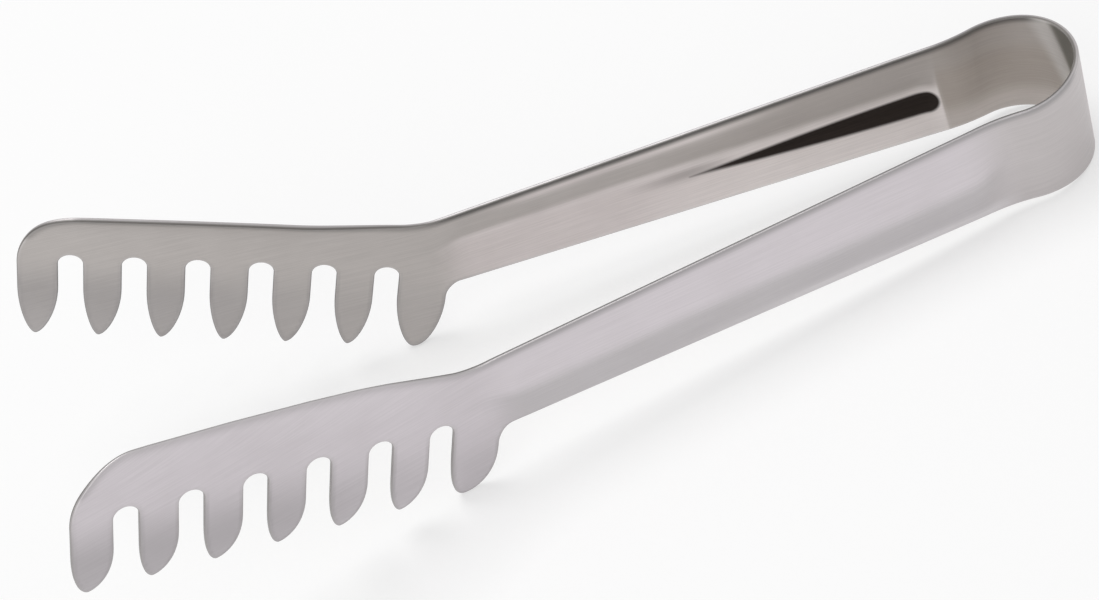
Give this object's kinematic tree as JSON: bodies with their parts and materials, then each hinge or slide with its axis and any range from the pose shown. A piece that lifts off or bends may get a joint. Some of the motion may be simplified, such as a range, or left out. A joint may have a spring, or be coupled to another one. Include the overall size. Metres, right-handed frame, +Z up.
{
  "type": "spaghetti tongs",
  "caption": "One-piece steel spaghetti tongs: a springy bow, two channelled handles and two combs of rounded teeth that close towards each other to lift pasta.",
  "frame": {"origin": "on the table that the tongs stand on, under the middle of the whole", "axes": "+X from the teeth towards the bow, Y from the left arm (-Y) to the right arm (+Y), +Z up"},
  "size_m": [0.2044, 0.0758, 0.0559],
  "materials": {
    "bow_steel": "satin stainless steel, bent round the bow",
    "handle_steel": "satin stainless steel, pressed into a shallow channel",
    "comb_steel": "satin stainless steel, cut into teeth with rounded edges"
  },
  "bodies": {
    "bow": {"spring_bow": "bow_steel"},
    "left_arm": {"left_shoulder": "bow_steel", "left_handle": "handle_steel", "left_comb": "comb_steel"},
    "right_arm": {"right_shoulder": "bow_steel", "right_handle": "handle_steel", "right_comb": "comb_steel"}
  },
  "joints": [
    {"name": "left_arm_flex", "type": "hinge", "parent": "bow", "child": "left_arm", "pos_m": [0.09703, -0.00933, 0.01179], "axis": [-0.0693, 0, -0.9976], "range_deg": [-2, 8.5], "stiffness_Nm_per_rad": 4},
    {"name": "right_arm_flex", "type": "hinge", "parent": "bow", "child": "right_arm", "pos_m": [0.09703, 0.00933, 0.01179], "axis": [0.0693, 0, 0.9976], "range_deg": [-2, 8.5], "stiffness_Nm_per_rad": 4}
  ],
  "couplings": [
    {"joint": "right_arm_flex", "follows": "left_arm_flex", "ratio": 1}
  ]
}
